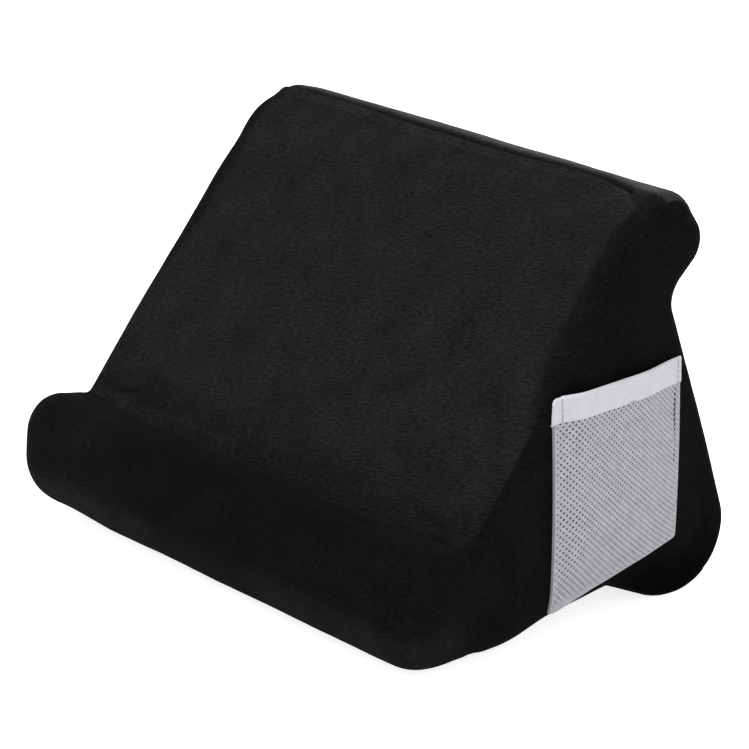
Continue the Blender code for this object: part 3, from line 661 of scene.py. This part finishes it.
# Plain-woven tape: fine ribs across it, and a slightly shiny filament yarn
woven, shader = surface("woven black zip tape")
tape_map = add_node(woven, "UVMap", uv_map="cloth").outputs["UV"]
ribs = add_node(woven, "TexWave", {"Vector": tape_map, "Scale": 520.0, "Distortion": 0.4},
                bands_direction="X").outputs["Fac"]
warps = add_node(woven, "TexWave", {"Vector": tape_map, "Scale": 420.0},
                 bands_direction="Y").outputs["Fac"]
weave = math_of(woven, "MULTIPLY_ADD", ribs, 0.6, warps)
connect(woven, shader, {
    "Base Color": mix_of(woven, weave, "#070708", "#151517"), "Roughness": 0.8,
    "Normal": bump_of(woven, weave, 0.6, 0.0002), "Specular IOR Level": 0.2, "Sheen Weight": 0.03})

for side, end in ((1, "upper"), (-1, "lower")):
    mesh = bmesh.new()
    bmesh.ops.create_grid(mesh, x_segments=230, y_segments=11, size=1)
    for vertex in mesh.verts:
        x, y = vertex.co.x * tape_half, tape_edge + (vertex.co.y + 1) / 2 * tape_width
        z = tape_level + 0.00003 * noise.noise(Vector((x / 0.006, y / 0.004, side)))
        vertex.co = (x, side * y, z)
    map_cloth(mesh, lambda vertex: vertex.co.xy)
    face_towards(mesh, Vector((0, 0, 1)))
    tape = new_piece("woven_zip_tape_" + end, mesh, woven, zip_place)
    thicken(tape, 0.00045)
    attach(tape, "cushion")
    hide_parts("zip_tape_" + end)


# Zip coils: two spirals of black nylon wire, flattened into links, sewn to the tapes' edges
# so that the turns of one stand between the turns of the other.

def tube(mesh, points, radius, sides):
    """A round tube through a row of points, closed at both ends."""
    rings = []
    for i, point in enumerate(points):
        ahead = (points[min(i + 1, len(points) - 1)] - points[max(i - 1, 0)]).normalized()
        side = ahead.orthogonal() if not rings else (last_side - ahead * last_side.dot(ahead))
        last_side = side.normalized()
        up = ahead.cross(last_side)
        rings.append([mesh.verts.new(point + radius * (last_side * math.cos(a) + up * math.sin(a)))
                      for a in (2 * math.pi * k / sides for k in range(sides))])
    for near, far in zip(rings, rings[1:]):
        for k in range(sides):
            mesh.faces.new((near[k], near[(k + 1) % sides], far[(k + 1) % sides], far[k]))
    mesh.faces.new(rings[0][::-1])
    mesh.faces.new(rings[-1])


def finish_tubes(name, mesh, material, place=None):
    """The piece made of the tubes in a mesh."""
    bmesh.ops.recalc_face_normals(mesh, faces=mesh.faces)
    return new_piece(name, mesh, material, place)


# Nylon monofilament: smooth and a little glossy, with faint scuffs from the slider
nylon, shader = surface("black nylon filament")
scuffs = noise_of(nylon, add_node(nylon, "TexCoord").outputs["Object"], 700.0, 2.0)
connect(nylon, shader, {
    "Base Color": mix_of(nylon, scuffs, "#0c0c0e", "#2b2b2f"),
    "Roughness": range_of(nylon, scuffs, 0.28, 0.5)})

# A coil's middle and reach across the tape, and its level and height over it
coil_pitch, turn_steps, wire = 0.0013, 9, 0.00020
coil_middle, coil_reach, coil_level, coil_height = 0.00126, 0.00082, -0.00135, 0.00044
turns = round(2 * zip_half / coil_pitch)
for side, end in ((1, "upper"), (-1, "lower")):
    mesh = bmesh.new()
    points = []
    for k in range(turns * turn_steps + 1):
        turn = 2 * math.pi * k / turn_steps
        x = -zip_half + 2 * zip_half * k / (turns * turn_steps)
        y = coil_middle + coil_reach * math.cos(turn)
        z = coil_level + coil_height * math.sin(turn) * (1 - 0.15 * math.cos(turn))
        points.append(Vector((x + side * 0.25 * coil_pitch, side * y, z)))
    tube(mesh, points, wire, 5)
    coil = finish_tubes("nylon_coil_" + end, mesh, nylon, zip_place)
    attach(coil, "cushion")
    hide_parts("zip_coil_" + end)


# Bar tacks: dense stitches of black thread across both coils at each end of the zip, which
# stop the slider.

# Spun polyester thread: matt, with the twist of its strands just visible
thread, shader = surface("black polyester sewing thread")
twist = noise_of(thread, add_node(thread, "TexCoord").outputs["Object"], 3000.0, 1.0)
connect(thread, shader, {
    "Base Color": mix_of(thread, twist, "#0b0b0d", "#323237"),
    "Normal": bump_of(thread, twist, 0.4, 0.0001), "Roughness": 0.65})

tack_stitches, tack_pitch, tack_reach, tack_thread = 6, 0.00033, 0.0022, 0.00017
for side, end in ((-1, "closed"), (1, "open")):
    mesh = bmesh.new()
    for k in range(tack_stitches):
        x = side * (zip_half - 0.0003 - tack_pitch * k)
        lean = 0.00012 * noise.noise(Vector((k * 3.1, side, 0.5)))
        arch = [Vector((x + lean * t, tack_reach * t, -0.00015 + 0.00045 * (1 - t ** 4)))
                for t in (-1, -0.8, -0.5, 0, 0.5, 0.8, 1)]
        tube(mesh, arch, tack_thread, 6)
    tack = finish_tubes("bar_tack_" + end, mesh, thread, zip_place)
    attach(tack, "cushion")
    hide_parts("zip_end_tack_" + end)


# Stitching beside the zip: one row of lockstitch on each side, 4 mm from the fold, sunk in
# the pile.

row_stitches, row_half, from_fold = 68, 0.1125, 0.0042
stitch_pitch, stitch_half, stitch_thread = 0.0033, 0.00125, 0.00022
mesh = bmesh.new()
for side in (-1, 1):
    for k in range(row_stitches):
        x = -row_half + stitch_pitch * k
        along = zip_seam + side * (zip_gap(abs(x)) + from_fold)
        stitch = []
        for t in (-1, -0.75, 0, 0.75, 1):
            sunk = 0.00045 + slow_relief(on_cover(along, x + stitch_half * t)) + 0.0006 * t ** 4
            stitch.append(settle(on_cover(along, x + stitch_half * t, sunk)))
        tube(mesh, stitch, stitch_thread, 5)
zip_stitching = finish_tubes("zip_stitching", mesh, thread)
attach(zip_stitching, "cushion")


# Slider: die-cast zinc, enamelled black. Two plates round the coils, flanges, and the bridge
# that holds the pull tab. Its cast edges are slightly rounded.

def cad_copy(name, node, material, width):
    """A CAD node's solid, its triangles joined and its edges rounded off."""
    mesh = bmesh.new()
    mesh.from_mesh(nodes[node].data)
    bmesh.ops.remove_doubles(mesh, verts=mesh.verts, dist=1e-6)
    bmesh.ops.dissolve_limit(mesh, angle_limit=math.radians(1), verts=mesh.verts, edges=mesh.edges)
    bmesh.ops.recalc_face_normals(mesh, faces=mesh.faces)
    piece = new_piece(name, mesh, material)
    soft_edges = piece.modifiers.new("cast edges", "BEVEL")
    soft_edges.width, soft_edges.segments, soft_edges.limit_method = width, 3, "ANGLE"
    soft_edges.angle_limit = math.radians(25)
    return piece


# Black enamel on zinc: satin, slightly uneven, worn to grey metal along the edges
enamel, shader = surface("black enamelled zinc casting")
flow = noise_of(enamel, add_node(enamel, "TexCoord").outputs["Object"], 900.0, 3.0)
edge = add_node(enamel, "NewGeometry").outputs["Pointiness"]
patchy = math_of(enamel, "MULTIPLY", range_of(enamel, edge, 0.0, 1.0, 0.56, 0.66), flow)
connect(enamel, shader, {
    "Base Color": mix_of(enamel, patchy, "#0b0b0c", "#5c5c5f"), "Metallic": patchy,
    "Roughness": range_of(enamel, flow, 0.38, 0.55), "Normal": bump_of(enamel, flow, 0.15, 0.0001),
    "Specular IOR Level": 0.3})

slider = cad_copy("enamelled_slider", "zip_slider", enamel, 0.00018)
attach(slider, "slider")
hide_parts("zip_slider")


# Pull tab: a flat die-cast tab with a round end, an eye round the slider's bridge, and a
# raised rim round a sunk field, which gives the fingers a grip.

pull_tab = cad_copy("enamelled_pull_tab", "zip_pull_tab", enamel, 0.00015)
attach(pull_tab, "pull_tab")
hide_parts("zip_pull_tab")


# Pocket net: light grey warp-knitted polyester net with small staggered holes, cut to the
# pocket and caught at its sides and lower edge. It hangs a little slack and stands off the
# end panel except at its sewn edges.

pocket_front, pocket_rear, pocket_top = -0.01204, 0.07041, 0.12539
pocket_width = pocket_rear - pocket_front
band_height = 0.0135
across_cells, down_cells = 54, 58


def pocket_floor(u):
    """Height of the pocket's lower edge, u going from its front side to its rear one."""
    return 0.01428 + 0.01804 * u


def on_pocket(u, drop, base=0.0018, slack=1.0):
    """A point of the pocket at a length below its mouth, at a height over the end panel."""
    v = drop / (pocket_top - pocket_floor(u))
    z = pocket_top - drop - (0.0004 + 0.0012 * (1 - u)) * (1 - smooth(v / 0.6))
    across = smooth((u + 0.02) / 0.22) * (1 - smooth((u - 0.62) / 0.38))
    bulge = 0.0042 * across * (1 - smooth((v - 0.70) / 0.30))
    x = HALF + CENTRE_X + end_swell(z) + base + bulge * slack
    x -= 0.0009 * smooth((v - 0.93) / 0.07) * (1 - u)
    lean = -0.0009 + 0.0012 * smooth(v / 0.88) - 0.0007 * smooth((v - 0.86) / 0.14)
    return Vector((x, pocket_front + u * pocket_width + lean * (1 - smooth(u / 0.5)), z))


# Matt grey-white filament yarn, knitted: its threads run to and fro between the holes, so
# the net shows fine diagonal ribs that are a little lighter than their sides
knit, shader = surface("light grey polyester net")
net_map = add_node(knit, "UVMap", uv_map="cloth").outputs["UV"]
cell = add_node(knit, "SeparateXYZ", {"Vector": net_map})
row = math_of(knit, "SUBTRACT", cell.outputs["X"], cell.outputs["Y"])
ribs = math_of(knit, "COSINE", math_of(knit, "MULTIPLY", row, math.pi))
mixed = math_of(knit, "MULTIPLY_ADD", ribs, 0.10, noise_of(knit, net_map, 0.35, 4.0))
tone = range_of(knit, mixed, 0.0, 1.0, 0.1, 0.9)
connect(knit, shader, {
    "Base Color": mix_of(knit, tone, "#a1a0a6", "#c3c2c8"), "Roughness": 0.75,
    "Normal": bump_of(knit, ribs, 0.4, 0.00015), "Sheen Weight": 0.15})

# Its upper edge goes 1.5 mm under the band. Its ribs' half width varies from hole to hole,
# and the holes are drawn out along one diagonal.
net_top = band_height - 0.0015
rib_half, rib_change, hole_narrow, hole_long = 0.00049, 0.00010, 0.68, 1.08


def net_length(u):
    """Length of the net below its upper edge."""
    return pocket_top - pocket_floor(u) - net_top


mesh = bmesh.new()
knots = {}
for i in range(across_cells + 1):
    for j in range(down_cells + 1):
        if (i + j) % 2 == 0:
            u = i / across_cells
            drop = net_top + net_length(u) * j / down_cells
            knots[i, j] = mesh.verts.new((u * pocket_width, -drop, 0))
holes = []
for i in range(across_cells + 1):
    for j in range(down_cells + 1):
        if (i + j) % 2:
            around = [(i - 1, j), (i, j + 1), (i + 1, j), (i, j - 1)]
            face = mesh.faces.new([knots[k] for k in around if k in knots])
            if len(face.verts) == 4:
                holes.append(face)
bmesh.ops.recalc_face_normals(mesh, faces=mesh.faces)
for face in holes:
    centre = face.calc_center_median()
    stretch = noise.noise(centre / 0.014) + 0.5 * noise.noise(centre / 0.004)
    bmesh.ops.inset_individual(mesh, faces=[face], thickness=rib_half - rib_change * stretch,
                               use_even_offset=True)
    centre = face.calc_center_median()
    for vertex in face.verts:
        off = vertex.co - centre
        along_row = (off.x - off.y) / 2 * hole_narrow
        across_row = (off.x + off.y) / 2 * hole_long
        vertex.co = centre + Vector((along_row + across_row, across_row - along_row, 0))
bmesh.ops.delete(mesh, geom=holes, context="FACES")


def net_spot(vertex):
    """Cells across and down on the flat net."""
    u = vertex.co.x / pocket_width
    return u * across_cells, (-vertex.co.y - net_top) / net_length(u) * down_cells


map_cloth(mesh, net_spot)
for vertex in mesh.verts:
    y, drop = vertex.co.x, -vertex.co.y
    ripple = 0.0007 * noise.noise(Vector(((y + drop) / 0.045, (y - drop) / 0.014, 7.0)))
    u = y / pocket_width
    free = smooth(min(u, 1 - u) / 0.07)
    vertex.co = on_pocket(u, drop, 0.0015 + (0.0004 + ripple) * free)
face_towards(mesh, Vector((1, 0, 0)))
net = new_piece("knitted_pocket_net", mesh, knit)
rounded = net.modifiers.new("rounded holes", "SUBSURF")
rounded.levels = rounded.render_levels = 1
thicken(net, 0.0002, 1)
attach(net, "cushion")
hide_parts("pocket_net")


# Pocket band: a light grey woven binding folded over the net's top edge. It is the pocket's
# mouth. Its front end is turned in and sewn down on the end panel, and stands out a little
# past the net.

# Close plain weave of fine yarn: smooth to the eye, with slight streaks and soft creases
binding_cloth, shader = surface("light grey woven binding")
band_map = add_node(binding_cloth, "UVMap", uv_map="cloth").outputs["UV"]
yarns = {"Vector": band_map, "Scale": 600.0, "Distortion": 0.3}
warp, weft = (add_node(binding_cloth, "TexWave", yarns, bands_direction=direction).outputs["Fac"]
              for direction in "XY")
weave = math_of(binding_cloth, "MULTIPLY", warp, weft)
slub = noise_of(binding_cloth, band_map, 150.0, 4.0)
tone = math_of(binding_cloth, "MULTIPLY_ADD", weave, 0.4, slub)
connect(binding_cloth, shader, {
    "Base Color": mix_of(binding_cloth, tone, "#cac9cf", "#dedde3"),
    "Normal": bump_of(binding_cloth, weave, 0.35, 0.00012), "Roughness": 0.8,
    "Sheen Weight": 0.15})


def pocket_strip(name, rows, columns, spot, material, thickness, node):
    """A strip of cloth on the pocket, from a grid whose points a function places."""
    mesh = bmesh.new()
    bmesh.ops.create_grid(mesh, x_segments=columns, y_segments=rows, size=1)
    for vertex in mesh.verts:
        vertex.co = spot((vertex.co.x + 1) / 2, (1 - vertex.co.y) / 2)
    map_cloth(mesh, lambda vertex: (vertex.co.y, vertex.co.z))
    face_towards(mesh, Vector((1, 0, 0)))
    piece = new_piece(name, mesh, material)
    thicken(piece, thickness)
    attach(piece, "cushion")
    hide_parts(node)
    return piece


BAND_START, BAND_LENGTH = -0.026, 1.032    # as shares of the pocket's width


def band_spot(a, b):
    """The band's face: rounded over at the mouth and at its ends, with soft upright folds."""
    u = BAND_START + BAND_LENGTH * a
    drop = band_height * b
    from_start, to_end = (u - BAND_START) * pocket_width, (1.006 - u) * pocket_width
    edge = min(b * band_height, (1 - b) * band_height * 1.3, 0.0014) / 0.0014
    ends = min(from_start, to_end, 0.0016) / 0.0016
    rise = 0.0006 + 0.0011 * math.sqrt(1 - (1 - edge) ** 2) * (0.45 + 0.55 * ends)
    rise += 0.00025 * noise.noise(Vector((u * 26, drop / 0.03, 2.0))) * edge
    rise += 0.0005 * bump_at(u, 0.055, 0.022) * edge - 0.0004 * bump_at(u, 0.085, 0.012) * edge
    point = on_pocket(min(max(u, 0.0), 1.0), drop, 0.0009 + rise)
    tucked = 0.0006 * (1 - smooth((u - BAND_START) / 0.04)) * smooth(b)
    point.y = pocket_front + u * pocket_width - tucked
    corner = max(0.0, 1 - from_start / 0.0034)
    lifted = 0.0005 * bump_at(u, 0.048, 0.018) * (1 - b)
    point.z += lifted - 0.0005 * (1 - smooth((u - 0.03) / 0.05)) * (1 - b)
    cut_off = 0.0026 * (1 - math.sqrt(1 - corner ** 2)) * (1 - b)
    point.z -= cut_off + 0.0008 * (1 - smooth((u - BAND_START) / 0.05)) * b
    return point


band = pocket_strip("pocket_mouth_band", 14, 90, band_spot, binding_cloth, 0.0009,
                    "pocket_top_band")


# Pocket side hems: the net's side edges turned under and sewn down to the end panel.

hem_width, hem_height = 0.0042, 0.0011


def hem_rise(from_edge):
    """Height of a hem, rounded off towards its edges."""
    return hem_height * math.sqrt(1 - (1 - min(from_edge / 0.0008, 1)) ** 2)


def hem_spot(low_u, high_u):
    """The face of a hem between two shares of the pocket's width."""
    def spot(a, b):
        u = low_u + (high_u - low_u) * a
        drop = 0.0090 + (pocket_top - pocket_floor(u) - 0.0094) * b
        rise = hem_rise(min(a, 1 - a) * (high_u - low_u) * pocket_width)
        rise += 0.0001 * noise.noise(Vector((u * 60, drop / 0.004, 4.0)))
        return on_pocket(u, drop, 0.0003 + rise, 0.0)
    return spot


hem_share = hem_width / pocket_width
front_hem = pocket_strip("pocket_front_hem", 90, 8, hem_spot(-0.002, hem_share), knit, 0.0003,
                         "pocket_front_binding")
rear_hem = pocket_strip("pocket_rear_hem", 90, 8, hem_spot(1 - hem_share, 1.004), knit, 0.0003,
                        "pocket_rear_binding")


# Pocket lower hem: the net's lower edge, turned under and caught down along a slant.

def lower_hem_spot(a, b):
    """The face of the lower hem, from the front hem to the rear one."""
    u = hem_share * 0.7 + (1 - 1.4 * hem_share) * a
    z = pocket_floor(u) + hem_width * (1 - b)
    rise = hem_rise(min(b, 1 - b) * hem_width)
    y = on_pocket(u, 0.0, 0.0003 + rise, 0.0).y
    return Vector((HALF + CENTRE_X + end_swell(z) + 0.0003 + rise, y, z))


lower_hem = pocket_strip("pocket_lower_hem", 6, 80, lower_hem_spot, knit, 0.0003,
                         "pocket_bottom_binding")


# Pocket stitching: black thread down the upper half of the rear hem, and grey thread across
# the two ends of the band.

def pocket_stitches(name, places, rise, slack, radius, material):
    """Lockstitches at places on the pocket, each a share of its width and a length down."""
    mesh = bmesh.new()
    for u, drop in places:
        points = [on_pocket(u, drop + 0.0009 * t, rise - 0.0005 * t ** 4, slack)
                  for t in (-1, -0.6, 0, 0.6, 1)]
        tube(mesh, points, radius, 5)
    stitches = finish_tubes(name, mesh, material)
    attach(stitches, "cushion")


# The same thread dyed grey
grey_thread, shader = surface("grey polyester sewing thread")
twist = noise_of(grey_thread, add_node(grey_thread, "TexCoord").outputs["Object"], 3000.0, 1.0)
connect(grey_thread, shader, {
    "Base Color": mix_of(grey_thread, twist, "#77767c", "#aeadb3"), "Roughness": 0.65})

rear_line = 1 - 0.0040 / pocket_width
rear_row = [(rear_line, 0.0155 + 0.0026 * k) for k in range(15)]
band_rows = [(u, 0.0018 + 0.0025 * k) for u in (0.042, 0.968) for k in range(5)]
pocket_stitches("pocket_rear_stitching", rear_row, 0.00225, 0.0, 0.00030, thread)
pocket_stitches("pocket_band_stitching", band_rows, 0.0030, 1.0, 0.00016, grey_thread)


# Floor, light and camera: a pale floor and soft studio light from above, both sides and
# behind; the camera stands where the photograph was taken.

paper, shader = surface("white paper floor")
camera_sees = add_node(paper, "LightPath").outputs["Is Camera Ray"]
veil = add_node(paper, "Emission", {"Color": (1, 1, 1, 1), "Strength": 0.8}).outputs[0]
both = add_node(paper, "AddShader", {0: shader.outputs[0], 1: veil}).outputs[0]
shown = add_node(paper, "MixShader", {0: camera_sees, 1: shader.outputs[0], 2: both}).outputs[0]
connect(paper, paper.node_tree.nodes["Material Output"], {"Surface": shown})
connect(paper, shader, {"Base Color": linear("#f0f0f0"), "Roughness": 0.9})

mesh = bmesh.new()
bmesh.ops.create_grid(mesh, x_segments=2, y_segments=2, size=6)
floor = new_piece("studio_floor", mesh, paper)

# The world is white for the camera and dimmer as a light
world = bpy.data.worlds.new("studio")
world.use_nodes = True
bpy.context.scene.world = world
camera_sees = add_node(world, "LightPath").outputs["Is Camera Ray"]
brightness = range_of(world, camera_sees, 0.55, 1.0)
connect(world, world.node_tree.nodes["Background"],
        {"Strength": brightness, "Color": (1, 1, 1, 1)})

# Place, size in metres and power in watts
for name, place, size, power in (("overhead softbox", (0.0, -0.1, 1.7), 1.3, 12),
                                 ("left softbox", (-1.1, -1.2, 1.1), 1.0, 9),
                                 ("right softbox", (1.5, -0.7, 0.8), 1.0, 6),
                                 ("rear softbox", (-0.4, 1.5, 0.95), 0.9, 12)):
    lamp = bpy.data.lights.new(name, "AREA")
    lamp.shape, lamp.size, lamp.energy = "SQUARE", size, power
    holder = bpy.data.objects.new(name, lamp)
    bpy.context.scene.collection.objects.link(holder)
    holder.location = place
    to_cushion = Vector((0, 0, 0.1)) - Vector(place)
    holder.rotation_euler = to_cushion.to_track_quat("-Z", "Y").to_euler()

# Fitted to the photograph, which is 749 pixels wide: the focal length in pixels, the
# distance, and how far the aim lies off the picture's centre in pixels
turn, tilt = math.radians(48.91), math.radians(19.72)
focal, distance, off_right, off_up = 3154.62, 1.57274, -0.78, 17.48
aim = Vector((-0.0036, 0.0061, 0.1))
back = Vector((math.sin(turn) * math.cos(tilt), -math.cos(turn) * math.cos(tilt), math.sin(tilt)))
right = Vector((math.cos(turn), math.sin(turn), 0))
up = back.cross(right)
per_pixel = distance / focal
camera_data = bpy.data.cameras.new("camera")
camera_data.sensor_width, camera_data.lens = 36, focal / 749 * 36
camera_data.clip_start, camera_data.clip_end = 0.05, 50
camera = bpy.data.objects.new("camera", camera_data)
bpy.context.scene.collection.objects.link(camera)
camera.location = (aim + back * distance - right * (off_right * per_pixel)
                   - up * (off_up * per_pixel))
camera.rotation_euler = (-back).to_track_quat("-Z", "Y").to_euler()
bpy.context.scene.camera = camera
bpy.context.scene.view_settings.view_transform = "Standard"
